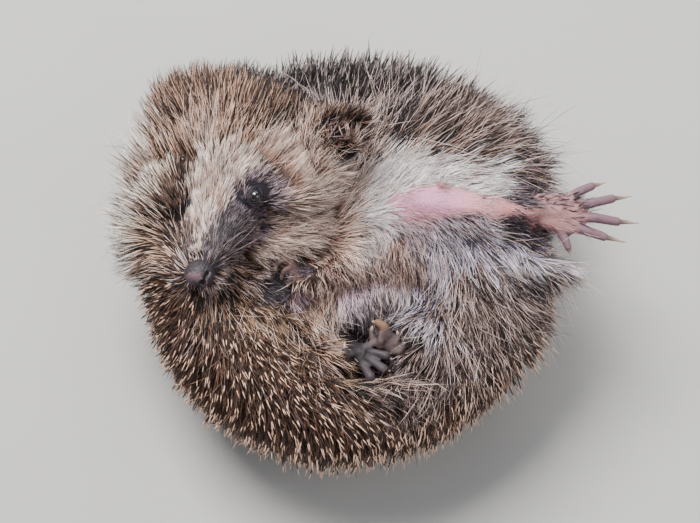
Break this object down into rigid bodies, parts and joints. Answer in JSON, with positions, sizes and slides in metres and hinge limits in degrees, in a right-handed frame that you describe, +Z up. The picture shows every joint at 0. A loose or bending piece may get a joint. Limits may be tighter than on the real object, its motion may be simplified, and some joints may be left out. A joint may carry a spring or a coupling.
{
  "type": "hedgehog",
  "caption": "Life-size still model of a European hedgehog lying half curled on its back, head folded over the belly, one hind leg stretched out.",
  "frame": {"origin": "middle of the animal's outline on the surface it rests on", "axes": "+Z up, out of the belly; +X from the head's side towards the stretched hind foot; +Y towards the animal's left flank"},
  "size_m": [0.1914, 0.156, 0.0933],
  "materials": {
    "spiny_coat": "dense short banded spines",
    "belly_coat": "coarse pale hair",
    "face_coat": "short cream and brown hair",
    "mask_coat": "very short dark hair",
    "bare_skin": "bare pink skin with fine creases",
    "dark_paw": "dark grey padded skin",
    "nose": "moist grainy skin",
    "ear": "thin grey-violet skin",
    "eye": "wet black",
    "claw": "pale horn"
  },
  "bodies": {
    "root": {"trunk_front": "spiny_coat", "trunk_rear": "spiny_coat", "neck": "spiny_coat", "belly": "belly_coat", "head": "face_coat", "ruff": "face_coat", "muzzle": "mask_coat", "lower_jaw": "face_coat", "nose": "nose", "eye_left": "eye", "eye_right": "eye", "ear_left": "ear", "ear_right": "ear", "tail": "belly_coat", "hind_left_thigh": "belly_coat", "hind_left_shank": "bare_skin", "hind_left_foot": "bare_skin", "fore_left_upper_arm": "belly_coat", "fore_left_forearm": "bare_skin", "fore_left_foot": "bare_skin", "hind_right_thigh": "belly_coat", "hind_right_shank": "bare_skin", "hind_right_foot": "dark_paw", "fore_right_upper_arm": "belly_coat", "fore_right_forearm": "bare_skin", "fore_right_foot": "dark_paw", "claw_hind_left_foot_1": "claw", "claw_hind_left_foot_2": "claw", "claw_hind_left_foot_3": "claw", "claw_hind_left_foot_4": "claw", "claw_hind_left_foot_5": "claw", "claw_hind_right_foot_1": "claw", "claw_hind_right_foot_2": "claw", "claw_hind_right_foot_3": "claw", "claw_hind_right_foot_4": "claw", "claw_hind_right_foot_5": "claw", "claw_fore_left_foot_1": "claw", "claw_fore_left_foot_2": "claw", "claw_fore_left_foot_3": "claw", "claw_fore_left_foot_4": "claw", "claw_fore_left_foot_5": "claw", "claw_fore_right_foot_1": "claw", "claw_fore_right_foot_2": "claw", "claw_fore_right_foot_3": "claw", "claw_fore_right_foot_4": "claw", "claw_fore_right_foot_5": "claw"}
  },
  "joints": []
}
